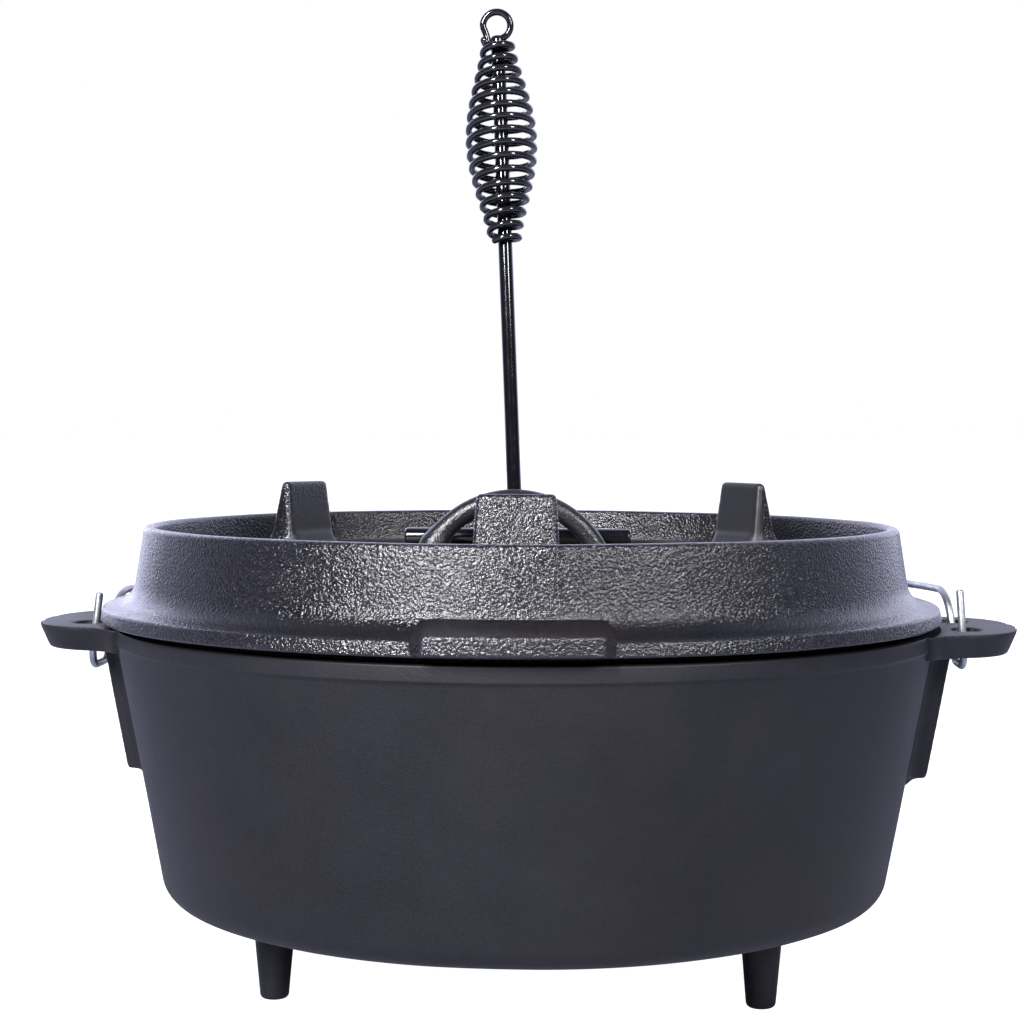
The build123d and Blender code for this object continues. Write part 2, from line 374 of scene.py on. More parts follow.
class Nodes:
    """Short names for building a material's node tree."""

    def __init__(self, name):
        self.material = bpy.data.materials.new(name)
        self.material.use_nodes = True
        self.tree = self.material.node_tree
        self.shader = self.tree.nodes["Principled BSDF"]
        self.place = self.add("ShaderNodeTexCoord").outputs["Object"]

    def add(self, kind, **values):
        node = self.tree.nodes.new(kind)
        for key, value in values.items():
            setattr(node, key, value)
        return node

    def link(self, source, target):
        self.tree.links.new(source, target)

    def noise(self, scale, detail=3.0, roughness=0.55, place=None):
        node = self.add("ShaderNodeTexNoise")
        node.inputs["Scale"].default_value = scale
        node.inputs["Detail"].default_value = detail
        node.inputs["Roughness"].default_value = roughness
        self.link(place or self.place, node.inputs["Vector"])
        return node.outputs["Fac"]

    def cells(self, scale, smoothness=1.0):
        node = self.add("ShaderNodeTexVoronoi", feature="SMOOTH_F1")
        node.inputs["Scale"].default_value = scale
        node.inputs["Smoothness"].default_value = smoothness
        self.link(self.place, node.inputs["Vector"])
        return node.outputs["Distance"]

    def ranged(self, value, low, high, to_low=0.0, to_high=1.0):
        node = self.add("ShaderNodeMapRange")
        for socket, number in zip(node.inputs[1:5], (low, high, to_low, to_high)):
            socket.default_value = number
        self.link(value, node.inputs["Value"])
        return node.outputs["Result"]

    def maths(self, operation, first, second):
        node = self.add("ShaderNodeMath", operation=operation)
        for socket, value in zip(node.inputs, (first, second)):
            if isinstance(value, (int, float)):
                socket.default_value = value
            else:
                self.link(value, socket)
        return node.outputs["Value"]

    def mixed(self, factor, first, second):
        node = self.add("ShaderNodeMix", data_type="RGBA")
        for socket, value in zip((node.inputs[0], node.inputs[6], node.inputs[7]),
                                 (factor, first, second)):
            if hasattr(value, "is_output"):
                self.link(value, socket)
            else:
                socket.default_value = value
        return node.outputs[2]

    def bump(self, height, strength, distance, under=None):
        node = self.add("ShaderNodeBump")
        node.inputs["Strength"].default_value = strength
        node.inputs["Distance"].default_value = distance
        self.link(height, node.inputs["Height"])
        if under:
            self.link(under, node.inputs["Normal"])
        return node.outputs["Normal"]

    def radius_and_height(self):
        """Distance from the upright axis, and height."""
        split = self.add("ShaderNodeSeparateXYZ")
        self.link(self.place, split.inputs["Vector"])
        x, y, z = (split.outputs[axis] for axis in "XYZ")
        squares = self.maths("ADD", self.maths("MULTIPLY", x, x), self.maths("MULTIPLY", y, y))
        return self.maths("SQRT", squares, 0), z

    def pointed(self):
        """How sharply the surface stands out: above a half on edges."""
        return self.add("ShaderNodeNewGeometry").outputs["Pointiness"]


def outer_skin(n):
    """1 on the lid's outer faces, less on its loop, 0 on its plate and on the legs' inner faces."""
    radius, z = n.radius_and_height()
    standing = n.ranged(z, PLATE_Z + 0.0008, PLATE_Z + 0.003)
    legs = n.maths("MULTIPLY", n.ranged(radius, 0.1010, 0.1045), standing)
    loop = n.maths("MULTIPLY", n.ranged(radius, 0.060, 0.050), n.maths("MULTIPLY", standing, 0.5))
    return n.maths("MAXIMUM", n.maths("MAXIMUM", legs, loop), n.ranged(radius, 0.1395, 0.1405))


def painted_gap_shade(n, of_lid):
    """1 between the lid and the pot's rim: painted shade, matte and without specular, for the
    shadow in the gap.
    """
    radius, z = n.radius_and_height()
    if of_lid:
        return n.ranged(z, BRIM_Z + 0.0002, BRIM_Z - 0.0001)
    under_brim = n.ranged(radius, 0.1580, 0.1575)
    return n.maths("MULTIPLY", n.ranged(z, RIM_Z - 0.0006, RIM_Z - 0.0003), under_brim)


def cast_iron(name, finishes, pebble, depth, roughness, masked=False):
    """Seasoned iron: pebbles and grit in relief, blotches of seasoning, edges rubbed lighter,
    painted shade in the gap at the rim.
    """
    n = Nodes(name)
    pits = n.maths("MULTIPLY", n.cells(pebble), 0.4)
    pebbles = n.maths("SUBTRACT", n.noise(pebble, 2.0, 0.5), pits)
    amount = outer_skin(n) if masked else None
    grit = n.noise(3200, 2.0, 0.6)
    blotches = n.ranged(n.noise(24, 5, 0.62), 0.36, 0.7)
    edges = n.ranged(n.pointed(), 0.505, 0.56)
    worn = n.maths("ADD", n.maths("MULTIPLY", blotches, 0.25), n.maths("MULTIPLY", edges, 0.5))
    worn = n.maths("ADD", worn, n.maths("MULTIPLY", n.ranged(pebbles, 0.3, 0.6), 0.3))
    seasoned = n.mixed(
        n.ranged(n.noise(11, 3, 0.6), 0.50, 0.72), tuple(finishes.iron), tuple(finishes.iron_brown)
    )
    shade = n.mixed(n.ranged(worn, 0, 1), seasoned, tuple(finishes.iron_worn))
    n.link(shade, n.shader.inputs["Base Color"])
    rough = n.ranged(blotches, 0, 1, roughness, roughness + 0.06)
    if masked:
        rough = n.maths("ADD", rough, n.ranged(amount, 0, 1, 0.34, 0))
    # painted shade: the gap between lid and rim goes matte and loses its specular, standing in for
    # the shadow there
    gap_shade = painted_gap_shade(n, masked)
    rough = n.maths("ADD", rough, n.maths("MULTIPLY", grit, 0.06))
    n.link(n.maths("MAXIMUM", rough, gap_shade), n.shader.inputs["Roughness"])
    specular_with_gap_shade = n.ranged(gap_shade, 0, 1, 0.5 if masked else 0.26, 0.02)
    n.link(specular_with_gap_shade, n.shader.inputs["Specular IOR Level"])
    height = n.maths("MULTIPLY", pebbles, amount) if masked else pebbles
    coarse = n.bump(height, 1.0, depth)
    n.link(n.bump(grit, 0.7, 0.00003, coarse), n.shader.inputs["Normal"])
    return n.material


def zinc(name, finishes):
    n = Nodes(name)
    spangle = n.cells(420, 0.2)
    cloud = n.ranged(n.noise(140, detail=4), 0.35, 0.68)
    shade = n.mixed(cloud, tuple(finishes.zinc), tuple(finishes.zinc_dull))
    n.link(shade, n.shader.inputs["Base Color"])
    n.link(n.ranged(n.noise(900, detail=2), 0.3, 0.7, 0.30, 0.50), n.shader.inputs["Roughness"])
    draw = n.bump(n.noise(1600, detail=2), 0.5, 0.00006)
    n.link(n.bump(spangle, 0.3, 0.00008, draw), n.shader.inputs["Normal"])
    n.shader.inputs["Metallic"].default_value = 0.9
    return n.material


def enamel(name, finishes):
    """Gloss coat with a trace of dust and orange peel, rubbed thin on its edges."""
    n = Nodes(name)
    dust = n.maths("MULTIPLY", n.ranged(n.noise(300, detail=4), 0.55, 0.8), 0.5)
    edges = n.ranged(n.pointed(), 0.53, 0.60)
    grey = tuple(min(1, 4 * part) for part in finishes.enamel[:3]) + (1,)
    n.link(n.mixed(n.maths("MAXIMUM", dust, edges), tuple(finishes.enamel), grey),
           n.shader.inputs["Base Color"])
    n.link(n.ranged(n.noise(180, detail=3), 0.3, 0.7, 0.09, 0.16), n.shader.inputs["Roughness"])
    n.link(n.bump(n.noise(110, detail=1), 0.12, 0.0002), n.shader.inputs["Normal"])
    n.shader.inputs["Coat Weight"].default_value = 0.15
    n.shader.inputs["Coat Roughness"].default_value = 0.05
    return n.material


# The pot


def pot_shell(sizes):
    """Bowl with a thicker band at the rim."""
    wall_top = sizes.rim_radius - sizes.band_step
    band_z = RIM_Z - sizes.band_height
    inner_rim, inner_base = sizes.rim_radius - sizes.wall, sizes.base_radius - sizes.wall
    base, floor = pot_low.z, pot_low.z + sizes.floor
    corners = [
        ((0, base), 0),
        ((sizes.base_radius, base), sizes.base_round),
        ((wall_top, band_z - sizes.band_step * 1.5), 0.003),
        ((sizes.rim_radius, band_z), 0.0008),
        ((sizes.rim_radius, RIM_Z), 0.0011),
        ((inner_rim, RIM_Z), 0.0011),
        ((inner_base, floor), sizes.base_round),
        ((0, floor), 0),
    ]
    outline = refined(rounded(*zip(*corners)), 0.006)
    return turned("pot_casting", outline, 288)


def ear_plan(inset, flare, root_x):
    """The ear's plan as a list of (x, y): a blunt oval that widens where it meets the pot."""
    centre_x = 0.150
    reach, half = ear_high.x - centre_x - inset, ear_high.y + 0.0005 - inset
    bluntness = 2.66
    turns = 48
    oval = []
    for k in range(turns + 1):
        angle = -pi / 2 + pi * k / turns
        x = centre_x + reach * abs(cos(angle)) ** (2 / bluntness)
        y = half * abs(sin(angle)) ** (2 / bluntness) * (1 if angle > 0 else -1)
        spread = flare * min(1, max(0, 1 - (x - centre_x) / 0.015)) ** 2.4
        oval.append((x, y + spread * (1 if angle > 0 else -1)))
    return [(root_x, oval[0][1])] + oval + [(root_x, oval[-1][1])]


def ear_piece(sizes):
    """The right ear with skirt, web, holes and gusset, and a core hidden inside the pot's wall."""
    root_x = 0.138
    depth, draft = 0.0092, 0.0038
    pivot = (0.150, 0, RIM_Z)

    def slab(name, inset, top, drop):
        plan = [(x, y, top) for x, y in ear_plan(inset, 0.009 if not inset else 0, root_x)]
        reach = ear_high.x - inset - pivot[0]
        shrink = (reach - draft) / reach
        width = (ear_high.y - inset - draft) / (ear_high.y - inset)
        return extruded(name, plan, (0, 0, -drop), (shrink, width, 1), pivot)

    ear = slab("ear", 0, RIM_Z - 0.0002, depth)
    combine(ear, "DIFFERENCE", slab("ear_hollow", 0.0045, RIM_Z - sizes.ear_plate, depth))
    half = 0.013
    under = RIM_Z - sizes.ear_plate / 2
    front_x, heel_x, toe_x = 0.1596, 0.1488, 0.1445
    knee_z, heel_z, toe_z = RIM_Z - 0.0166, RIM_Z - 0.0563, RIM_Z - 0.0604
    side = [
        (root_x, under), (front_x, under), (front_x, knee_z), (heel_x, heel_z),
        (toe_x, toe_z), (root_x, toe_z),
    ]
    rib = extruded("gusset", [(x, -half, z) for x, z in side], (0, 2 * half, 0))
    combine(ear, "UNION", rib)
    slope = (sizes.rim_radius - sizes.band_step - sizes.base_radius) / (RIM_Z - 0.007 - pot_low.z)
    low_z, high_z = RIM_Z - 0.068, RIM_Z - 0.0002
    skin, core = 0.0005, 0.0042
    low_r = sizes.base_radius + slope * (low_z - pot_low.z)
    high_r = sizes.rim_radius - sizes.band_step
    wall = [
        (low_r - skin, low_z), (high_r - skin, high_z),
        (high_r - core, high_z), (low_r - core, low_z),
    ]
    web_z, web_height = RIM_Z - 0.008, 0.049
    web_r = sizes.base_radius + slope * (web_z - pot_low.z)
    fillet = [
        (-0.004, 0.0085), (-0.0008, 0.0076), (0.0006, 0.0042), (0.0028, 0.0017), (0.0072, 0.0002)
    ]
    web = [(web_r + out, -half - across, web_z) for out, across in fillet]
    web += [(x, -y, z) for x, y, z in reversed(web)]
    combine(ear, "UNION", extruded("web", web, (-slope * web_height, 0, -web_height)))
    spread = radians(19)
    combine(ear, "UNION", swept_sector("core", wall, -spread, 2 * spread, 24))
    hole_x, reach, gap, facets = 0.166, 0.0150, 0.0190, 32
    for way in SIDES:
        hole = []
        for k in range(facets):
            angle = 2 * pi * k / facets
            push = (reach - sizes.hole_width) / 2 * (1 if sin(angle) >= 0 else -1)
            y = way * (gap + reach) / 2 + push + sizes.hole_width / 2 * sin(angle)
            hole.append((hole_x + sizes.hole_width / 2 * cos(angle), y, RIM_Z + 0.002))
        combine(ear, "DIFFERENCE", extruded("hole", hole, (0, 0, -0.012)))
    return cast_together(ear, 0.0008, 11)


def foot_piece(sizes):
    """A tapered peg that flares into the pot's base."""
    top, flare = pot_low.z, 0.004
    corners = [
        ((0, 0), 0),
        ((sizes.foot_tip, 0), 0.0018),
        ((sizes.foot_top, top - 0.0006), flare),
        ((sizes.foot_top + flare + 0.001, top + 0.0004), 0),
        ((sizes.foot_top + flare + 0.001, top + 0.002), 0),
        ((0, top + 0.002), 0),
    ]
    foot = turned("foot", refined(rounded(*zip(*corners)), 0.004), 48)
    foot.data.transform(Matrix.Translation((0, foot_high.y - sizes.foot_top, 0)))
    return foot


class CAMPOVEN_OT_pot(bpy.types.Operator):
    """Model the pot casting: bowl, ears with their gussets, and feet"""

    bl_idname = "campoven.pot"
    bl_label = "Pot"

    def execute(self, context):
        scene = context.scene
        sizes = scene.camp_oven_pot
        pot = pot_shell(sizes)
        ear = ear_piece(sizes)
        combine(pot, "UNION", turned_copy(ear, pi, "ear_left"), ear)
        foot = foot_piece(sizes)
        feet = [turned_copy(foot, third * 2 * pi / 3, "foot") for third in (1, 2)]
        combine(pot, "UNION", *feet, foot)
        uneven(pot, 0.05, 0.0004)
        iron = cast_iron("seasoned_iron_fine", scene.camp_oven_finishes, 1300, 0.00008, 0.46)
        finish_piece(
            pot, "pot", "cast_iron", iron, "pot_body", "ear_left", "ear_right",
            "foot_front_left", "foot_front_right", "foot_rear",
        )
        return {"FINISHED"}


# The lid


def lid_shell(sizes):
    """Brim with its locating lip, neck, upright flange and plate."""
    base = BRIM_Z
    under = PLATE_Z - sizes.plate
    plate_radius = 0.1376
    lip_out, lip_in, seat = 0.1482, 0.1454, 0.1514
    corners = [
        ((0, under), 0),
        ((plate_radius, under), 0.006),
        ((lip_in, base - 0.0024), 0.002),
        ((lip_in, lid_low.z), 0.0006),
        ((lip_out, lid_low.z), 0.0006),
        ((lip_out, RIM_Z), 0.0004),
        ((seat, RIM_Z), 0),
        ((seat, base), 0),
        ((sizes.brim_radius, base), 0.0008),
        ((sizes.brim_radius - 0.0007, base + sizes.brim_edge), 0.0015),
        ((sizes.neck_radius, base + 0.0077), 0.0092),
        ((sizes.top_radius, FLANGE_Z), 0.0019),
        ((sizes.top_radius - sizes.flange_wall, FLANGE_Z), 0.0019),
        ((plate_radius, PLATE_Z), 0.004),
        ((0, PLATE_Z), 0),
    ]
    return turned("lid_casting", refined(rounded(*zip(*corners)), 0.005), 320)


def tab_piece(sizes):
    """The thickened stretch of brim at the front, with sloping ends."""
    base = BRIM_Z
    outline = [
        (0.1480, base + 0.0040), (0.1548, base + 0.0006), (0.1632, base + 0.0006),
        (0.1625, base + 0.0074), (0.1535, base + 0.0088), (0.1466, base + 0.0118),
    ]
    slope = 0.0048
    face = sizes.tab_face / sizes.brim_radius / 2
    half = face + slope / sizes.brim_radius
    tab = swept_sector("tab", outline, -pi / 2 - half, 2 * half, 48)
    apply_modifier(tab, "REMESH", mode="VOXEL", voxel_size=0.0006)
    for vertex in tab.data.vertices:
        place = vertex.co
        away = abs(atan2(place.x, -place.y))
        share = min(1, max(0, (half - away) / (half - face)))
        out = Vector((place.x, place.y, 0)).length
        if out > sizes.brim_radius - 0.0006:
            kept = sizes.brim_radius - 0.0006 + (out - sizes.brim_radius + 0.0006) * share
            place.x, place.y = place.x * kept / out, place.y * kept / out
        brim = base + sizes.brim_edge + (sizes.brim_radius - out) * 0.5
        if place.z > brim - 0.0004:
            place.z = brim - 0.0004 + (place.z - brim + 0.0004) * share
    apply_modifier(tab, "SMOOTH", factor=0.5, iterations=5)
    return tab


def leg_piece(sizes):
    """A wedge with rounded corners whose foot flares into the lid's plate."""
    base_inner, base_outer, top_inner, top_outer = 0.098, 0.112, 0.1018, 0.1052
    sink = 0.003
    half_base, half_top = sizes.leg_width / 2 - 0.0006, 0.0136
    corners = [(-half_base, -base_outer), (half_base, -base_outer), (half_base, -base_inner),
               (-half_base, -base_inner)]
    height = leg_high.z - PLATE_Z
    leg = extruded("leg", [(x, y, PLATE_Z - sink) for x, y in corners], (0, 0, height + sink))
    for vertex in leg.data.vertices:
        if vertex.co.z > PLATE_Z:
            outer = vertex.co.y < -(base_inner + base_outer) / 2
            vertex.co.x = half_top if vertex.co.x > 0 else -half_top
            vertex.co.y = -top_outer if outer else -top_inner
    apply_modifier(
        leg, "BEVEL", width=0.0014, segments=4, limit_method="ANGLE", angle_limit=radians(60)
    )
    middle, deep = -(base_inner + base_outer) / 2, (base_outer - base_inner) / 2
    skirts = [
        (-0.003, 0.0068), (0, 0.0056), (0.0010, 0.0036), (0.0028, 0.0019), (0.0056, 0.0006),
        (0.0086, -0.0006),
    ]
    for (low, wide), (high, narrow) in zip(skirts, skirts[1:]):
        ring = [(x * (half_base + wide), middle + y * (deep + wide), PLATE_Z + low)
                for x, y in ((-1, -1), (1, -1), (1, 1), (-1, 1))]
        ring = rounded(ring, (0.0045 + max(0, wide) / 2,) * 4)
        shrink = ((half_base + narrow) / (half_base + wide), (deep + narrow) / (deep + wide), 1)
        combine(leg, "UNION", extruded("skirt", ring, (0, 0, high - low), shrink, (0, middle, 0)))
    return cast_together(leg, 0.0007, 9)


def loop_piece(sizes):
    """The arched bar, thicker at its feet, with a knuckle on its left shoulder."""
    centre_x = sizes.loop_offset
    radius = sizes.loop_bar / 2
    rise = loop_high.z - PLATE_Z - radius
    half = (loop_high.x - loop_low.x) / 2 - radius
    sink = 0.003
    ball = ((half + 0.001) ** 2 + (rise + sink) ** 2) / (2 * (rise + sink))
    reach = pi / 2 + atan2(ball - rise - sink, half + 0.001) * -1
    route, sizes_along = [], []
    steps = 56
    for k in range(steps + 1):
        angle = pi / 2 + reach * (1 - 2 * k / steps)
        place = Vector((ball * cos(angle), 0, rise - ball + ball * sin(angle)))
        foot = max(0, 1 - (place.z + sink) / 0.009)
        lump = exp(-(((place.z - 0.0060) / 0.0046) ** 2)) if place.x < 0 else 0
        route.append(place + Vector((centre_x + 0.0004 * lump, 0, PLATE_Z)))
        sizes_along.append(1 + 0.5 * foot**2 + 0.42 * lump)
    bpy.ops.object.select_all(action="DESELECT")
    loop = wire("loop", route, radius, 8)
    for vertex in loop.data.vertices:
        near = min(range(len(route)), key=lambda i: (route[i] - vertex.co).length_squared)
        vertex.co = route[near] + (vertex.co - route[near]) * sizes_along[near]
    block = [(centre_x - 0.06, -0.02, PLATE_Z - 0.0035), (centre_x + 0.06, -0.02, PLATE_Z - 0.0035),
             (centre_x + 0.06, 0.02, PLATE_Z - 0.0035), (centre_x - 0.06, 0.02, PLATE_Z - 0.0035)]
    combine(loop, "DIFFERENCE", extruded("cut", block, (0, 0, -0.02)))
    pads = []
    for side in SIDES:
        centre = Vector((centre_x + side * (half + 0.0004), 0, PLATE_Z - 0.0035))
        ring = [centre + Vector((0.0078 * cos(2 * pi * k / 24), 0.0078 * sin(2 * pi * k / 24), 0))
                for k in range(24)]
        pads.append(extruded("pad", ring, (0, 0, 0.0031)))
    combine(loop, "UNION", *pads)
    return cast_together(loop, 0.0006, 8)


class CAMPOVEN_OT_lid(bpy.types.Operator):
    """Model the lid casting: brim, flange, plate, legs and loop"""

    bl_idname = "campoven.lid"
    bl_label = "Lid"

    def execute(self, context):
        scene = context.scene
        sizes = scene.camp_oven_lid
        lid = lid_shell(sizes)
        leg = leg_piece(sizes)
        legs = [turned_copy(leg, third * 2 * pi / 3, "leg") for third in (1, 2)]
        combine(lid, "UNION", tab_piece(sizes), *legs, leg, loop_piece(sizes))
        uneven(lid, 0.045, 0.0004)
        shift = Matrix.Translation(((lid_low.x + lid_high.x) / 2, 0, 0))
        lid.data.transform(shift @ Matrix.Rotation(sizes.turn, 4, "Z"))
        iron = cast_iron(
            "seasoned_iron_pebbled", scene.camp_oven_finishes, 1100, 0.00046, 0.12, masked=True
        )
        finish_piece(
            lid, "lid", "cast_iron", iron, "lid_body", "lid_loop_handle",
            "lid_leg_front", "lid_leg_rear_left", "lid_leg_rear_right",
        )
        return {"FINISHED"}


# The wires


def bail_route(wire_radius):
    """From one hook's stub, under the web, up, round the back and down the other hook."""
    hole_x = bail_high.x - wire_radius
    hook_y = -bail_low.y - wire_radius
    low = bail_low.z + wire_radius
    stub_top = bail_high.z
    hinge_z = frame_hinge_z()
    reach = bail_high.y - wire_radius
    arc_z = hinge_z + 0.0140
    shank = 0.0170
    centre_y = (reach**2 + shank**2 - hole_x**2 - hook_y**2) / (2 * (reach - hook_y))
    radius = reach - centre_y
    start = atan2(hook_y - centre_y, hole_x) + atan(shank / radius)
    join = (radius * cos(start), centre_y + radius * sin(start), arc_z)

    def side(lean, rise):
        """One hook, from its stub round to where the arc begins."""
        return bent([
            (hole_x - lean, -hook_y, stub_top + rise), (hole_x, -hook_y, low),
            (hole_x, hook_y, low), (hole_x - 0.0012, hook_y, arc_z), join,
        ], (0.0095, 0.0095, 0.0160))

    steps = 60
    arc = []
    for k in range(1, steps):
        angle = start + (pi - 2 * start) * k / steps
        arc.append(Vector((radius * cos(angle), centre_y + radius * sin(angle), arc_z)))
    mirrored = [Vector((-p.x, p.y, p.z)) for p in reversed(side(0.0037, 0.0014))]
    route = side(0.0022, 0.0024) + arc + mirrored
    left_sag = 0.0026
    return [p - Vector((0, 0, left_sag * (hole_x - p.x) / (2 * hole_x))) for p in route]


def frame_hinge_z():
    for joint in frame["joints"]:
        if joint["name"] == "bail_swing":
            return joint["pos_m"][2]
    raise RuntimeError("the frame has no bail_swing joint")


class CAMPOVEN_OT_bail(bpy.types.Operator):
    """Model the wire bail with a hook through each ear"""

    bl_idname = "campoven.bail"
    bl_label = "Bail"

    def execute(self, context):
        radius = context.scene.camp_oven_wires.bail_wire / 2
        bail = wire("bail_wire", bail_route(radius), radius, 6)
        plating = zinc("zinc_plate", context.scene.camp_oven_finishes)
        finish_piece(bail, "bail", "zinc_wire", plating, "bail_handle", angle=50)
        return {"FINISHED"}


def lifter_axis():
    """The foot and direction of the leaning shank, and how far up it the eye is."""
    foot = Vector(((bar_low.x + bar_high.x) / 2, rod_high.y - 0.0028, PLATE_Z))
    top = Vector(((eye_low.x + eye_high.x) / 2, foot.y, (eye_low.z + eye_high.z) / 2))
    return foot, (top - foot).normalized(), (top - foot).length


def lean_matrix():
    foot, way, _ = lifter_axis()
    lean = Vector((0, 0, 1)).rotation_difference(way)
    return Matrix.Translation(foot) @ lean.to_matrix().to_4x4()


def rod_route(sizes):
    low = sizes.rod_wire / 2 + 0.0002
    top = 0.2036
    points = [(0, 0, top), (0, 0, low), (0, -0.025, low), (0, -0.025, 0.016)]
    return [lean_matrix() @ point for point in bent(points, (0.0065, 0.0065))]


def coil_route(sizes):
    """The strands up the shank, ending on the left, and the eye's height and radius."""
    start_z, pitch, tilt = 0.1235, 0.00492, 0.20
    start_angle, ends = pi * 0.8, 0.0053
    waist = (sizes.coil_waist - sizes.coil_wire) / 2
    turns, per_turn = sizes.coil_turns, 28
    _, _, eye_z = lifter_axis()
    eye_radius = (eye_high.x - eye_low.x - sizes.coil_wire) / 2
    route = []
    total = turns * per_turn - per_turn // 10
    for k in range(total + 1):
        angle = 2 * pi * k / per_turn - start_angle
        share = k / total
        radius = ends + (waist - ends) * max(0, sin(pi * share)) ** 1.5
        height = start_z + pitch * k / per_turn
        x, y = radius * cos(angle), radius * sin(angle)
        route.append(Vector((x, y, height - tilt * y)))
    return route, eye_z, eye_radius


def grip_piece(sizes):
    """The coil, which leaves its top turn on the left, loops over and ends on the shank's top."""
    route, eye_z, radius = coil_route(sizes)
    middle = -0.0002
    eye = []
    for k in range(36):
        angle = radians(180 - 7.7 * k)
        drop = 0 if k < 30 else (k - 29) / 6
        x, z = middle + radius * cos(angle), eye_z + radius * sin(angle)
        eye.append(Vector((x, -0.0012 * drop, z)))
    rise = [
        Vector((-radius + 0.0016, -0.0004, eye_z - 0.0066)),
        Vector((-radius + 0.0009, 0, eye_z - 0.0030)),
    ]
    bends = route[-3:] + rise + eye[:2]
    eased = []
    for before, here, there, after in zip(bends, bends[1:], bends[2:], bends[3:]):
        for share in (0, 0.25, 0.5, 0.75):
            eased.append(0.5 * (
                2 * here + (there - before) * share
                + (2 * before - 5 * here + 4 * there - after) * share**2
                + (3 * here - before - 3 * there + after) * share**3
            ))
    full = [lean_matrix() @ point for point in route[:-2] + eased + eye[1:]]
    return wire("coil_grip_with_eye", full, sizes.coil_wire / 2, 4)


def cross_bar_piece(sizes):
    """A round bar with softened ends and a weld bead where it meets the shank."""
    centre = (bar_low + bar_high) / 2
    half = (bar_high.x - bar_low.x) / 2
    bpy.ops.object.select_all(action="DESELECT")
    bpy.ops.mesh.primitive_cylinder_add(
        vertices=40, radius=sizes.bar_wire / 2, depth=2 * half, rotation=(0, pi / 2, 0)
    )
    bar = bpy.context.object
    bpy.ops.object.transform_apply(location=False, rotation=True, scale=True)
    bar.name = bar.data.name = "cross_bar"
    apply_modifier(
        bar, "BEVEL", width=0.0011, segments=5, limit_method="ANGLE", angle_limit=radians(50)
    )
    bar.data.transform(Matrix.Translation(centre))
    beads = []
    for way in SIDES:
        bpy.ops.mesh.primitive_uv_sphere_add(segments=20, ring_count=12, radius=0.0021)
        bead = bpy.context.object
        bead.data.transform(Matrix.Diagonal((0.8, 0.9, 1.5, 1)))
        place = centre + Vector((way * 0.0024, -0.0034, 0))
        bead.data.transform(Matrix.Translation(place))
        beads.append(bead)
    combine(bar, "UNION", *beads)
    return bar


class CAMPOVEN_OT_lifter(bpy.types.Operator):
    """Model the lid lifter: hooked shank, cross bar, and coil grip with its eye"""

    bl_idname = "campoven.lifter"
    bl_label = "Lid lifter"

    def execute(self, context):
        sizes = context.scene.camp_oven_wires
        gloss = enamel("gloss_enamel", context.scene.camp_oven_finishes)
        rod = wire("lifter_shank", rod_route(sizes), sizes.rod_wire / 2, 8)
        finish_piece(rod, "lifter", "black_enamel", gloss, "lifter_rod", angle=50)
        bar = cross_bar_piece(sizes)
        finish_piece(bar, "lifter", "black_enamel", gloss, "lifter_cross_bar", angle=35)
        grip = grip_piece(sizes)
        finish_piece(
            grip, "lifter", "black_enamel", gloss, "lifter_coil_grip", "lifter_hanging_eye",
            angle=60,
        )
        return {"FINISHED"}


# The stage


def aim(obj, target):
    obj.rotation_euler = (Vector(target) - obj.location).to_track_quat("-Z", "Y").to_euler()


def soft_box(name, azimuth, distance, height, size, power, tint):
    """A rectangular light at an azimuth from the front, aimed at the lid."""
    place = (distance * sin(azimuth), -distance * cos(azimuth), height)
    bpy.ops.object.light_add(type="AREA", location=place)
    lamp = bpy.context.object
    lamp.name = name
    lamp.data.shape = "RECTANGLE"
    lamp.data.size, lamp.data.size_y = size
    lamp.data.energy = power
    lamp.data.color = tint
    aim(lamp, (0, 0, 0.14))


def studio_world():
    """White to the eye; in light and reflections, bright behind and dark in front."""
    world = bpy.data.worlds.new("studio")
    world.use_nodes = True
    tree = world.node_tree
    tree.nodes.clear()
    add, link = tree.nodes.new, tree.links.new
    way = add("ShaderNodeTexCoord").outputs["Generated"]
    split = add("ShaderNodeSeparateXYZ")
    link(way, split.inputs["Vector"])
    ramp = add("ShaderNodeMapRange")
    ramp.interpolation_type = "SMOOTHSTEP"
    for socket, value in zip(ramp.inputs[1:5], (0.02, 0.95, 0.045, 1.8)):
        socket.default_value = value
    link(split.outputs["Y"], ramp.inputs["Value"])
    glow = add("ShaderNodeBackground")
    glow.inputs["Color"].default_value = (0.74, 0.75, 1.0, 1)
    link(ramp.outputs["Result"], glow.inputs["Strength"])
    seen = add("ShaderNodeBackground")
    seen.inputs["Color"].default_value = (1, 1, 1, 1)
    mix = add("ShaderNodeMixShader")
    link(add("ShaderNodeLightPath").outputs["Is Camera Ray"], mix.inputs["Fac"])
    link(glow.outputs["Background"], mix.inputs[1])
    link(seen.outputs["Background"], mix.inputs[2])
    link(mix.outputs["Shader"], add("ShaderNodeOutputWorld").inputs["Surface"])
    return world


def floor_material(tint):
    n = Nodes("pale_floor")
    tone = n.ranged(n.noise(3, detail=2), 0.3, 0.7)
    paler = tuple(min(1, part * 1.03) for part in tint[:3]) + (1,)
    n.link(n.mixed(tone, tuple(tint), paler), n.shader.inputs["Base Color"])
    n.shader.inputs["Roughness"].default_value = 0.8
    n.shader.inputs["Specular IOR Level"].default_value = 0.1
    n.shader.inputs["Emission Color"].default_value = (1, 1, 1, 1)
    seen = n.add("ShaderNodeLightPath").outputs["Is Camera Ray"]
    n.link(seen, n.shader.inputs["Emission Strength"])
    return n.material


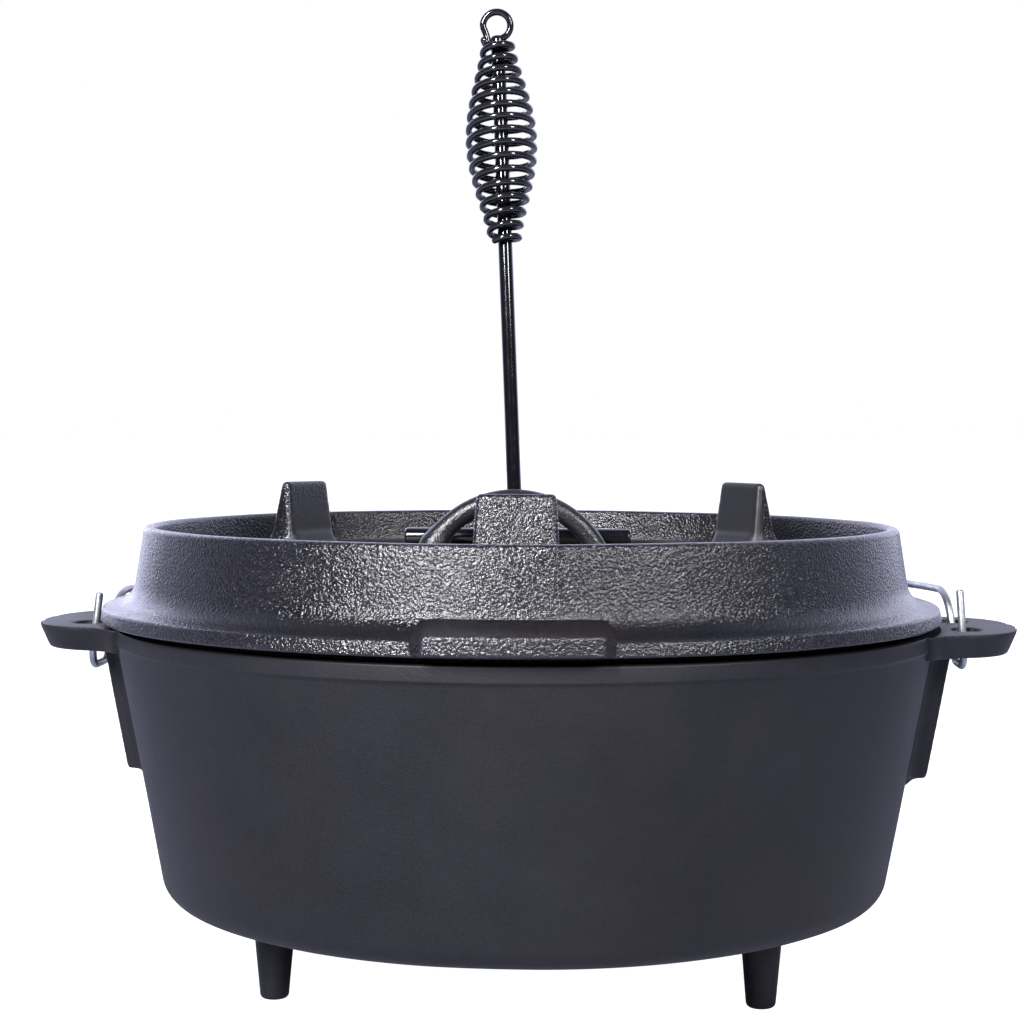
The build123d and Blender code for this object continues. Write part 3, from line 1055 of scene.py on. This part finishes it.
def place_camera(scene):
    """Low in front and a little to the right, with a long lens."""
    distance, height = 0.8241, RIM_Z + 0.0753
    around, aside, down, roll = radians(3.0), radians(0.351), radians(2.309), radians(0.18)
    bpy.ops.object.camera_add(location=(distance * sin(around), -distance * cos(around), height))
    camera = bpy.context.object
    camera.name = "camera"
    turn = Matrix.Rotation(around + aside, 4, "Z") @ Matrix.Rotation(pi / 2 - down, 4, "X")
    camera.rotation_euler = (turn @ Matrix.Rotation(roll, 4, "Z")).to_euler()
    camera.data.lens = 75.27
    camera.data.sensor_width = 36
    camera.data.clip_end = 100
    scene.camera = camera


class CAMPOVEN_OT_stage(bpy.types.Operator):
    """Set up the pale floor, the soft studio light and the camera"""

    bl_idname = "campoven.stage"
    bl_label = "Stage"

    def execute(self, context):
        scene = context.scene
        bpy.ops.object.select_all(action="DESELECT")
        bpy.ops.mesh.primitive_circle_add(vertices=96, radius=30, fill_type="NGON")
        ground = context.object
        ground.name = ground.data.name = "floor"
        ground.data.materials.append(floor_material(scene.camp_oven_finishes.floor))
        scene.world = studio_world()
        cool, blue = (0.95, 0.96, 1), (0.74, 0.76, 1)
        soft_box("key", radians(-23), 2.2, 1.42, (0.32, 1.0), 180, cool)
        soft_box("fill", radians(42), 2.4, 1.42, (0.32, 1.0), 70, cool)
        soft_box("left_edge", radians(-150), 1.8, 0.5, (0.5, 1.4), 4, blue)
        soft_box("right_edge", radians(150), 1.8, 0.5, (0.5, 1.4), 2, blue)
        place_camera(scene)
        scene.view_settings.view_transform = "Standard"
        bpy.ops.object.select_all(action="DESELECT")
        return {"FINISHED"}


class CAMPOVEN_PT_panel(bpy.types.Panel):
    bl_label = "Camp Oven"
    bl_idname = "CAMPOVEN_PT_panel"
    bl_space_type = "VIEW_3D"
    bl_region_type = "UI"
    bl_category = "Camp Oven"

    def draw(self, context):
        scene = context.scene
        for title, group, operators in PANEL_ROWS:
            box = self.layout.box()
            box.label(text=title)
            settings = getattr(scene, group)
            for key in settings.bl_rna.properties.keys():
                if key not in ("rna_type", "name"):
                    box.prop(settings, key)
            for operator in operators:
                box.operator(operator.bl_idname)


GROUPS = {
    "camp_oven_pot": PotSizes,
    "camp_oven_lid": LidSizes,
    "camp_oven_wires": WireSizes,
    "camp_oven_finishes": Finishes,
}
OPERATORS = (
    CAMPOVEN_OT_pot, CAMPOVEN_OT_lid, CAMPOVEN_OT_bail, CAMPOVEN_OT_lifter, CAMPOVEN_OT_stage,
)
PANEL_ROWS = (
    ("Pot", "camp_oven_pot", (CAMPOVEN_OT_pot,)),
    ("Lid", "camp_oven_lid", (CAMPOVEN_OT_lid,)),
    ("Wires", "camp_oven_wires", (CAMPOVEN_OT_bail, CAMPOVEN_OT_lifter)),
    ("Finishes and stage", "camp_oven_finishes", (CAMPOVEN_OT_stage,)),
)


def register():
    for cls in (*GROUPS.values(), *OPERATORS, CAMPOVEN_PT_panel):
        bpy.utils.register_class(cls)
    for name, cls in GROUPS.items():
        setattr(bpy.types.Scene, name, PointerProperty(type=cls))


def unregister():
    for name in GROUPS:
        delattr(bpy.types.Scene, name)
    for cls in (CAMPOVEN_PT_panel, *reversed(OPERATORS), *reversed(list(GROUPS.values()))):
        bpy.utils.unregister_class(cls)


def main():
    bpy.ops.object.select_all(action="DESELECT")
    register()
    for step in (
        bpy.ops.campoven.pot, bpy.ops.campoven.lid, bpy.ops.campoven.bail,
        bpy.ops.campoven.lifter, bpy.ops.campoven.stage,
    ):
        step()


if __name__ == "__main__":
    main()
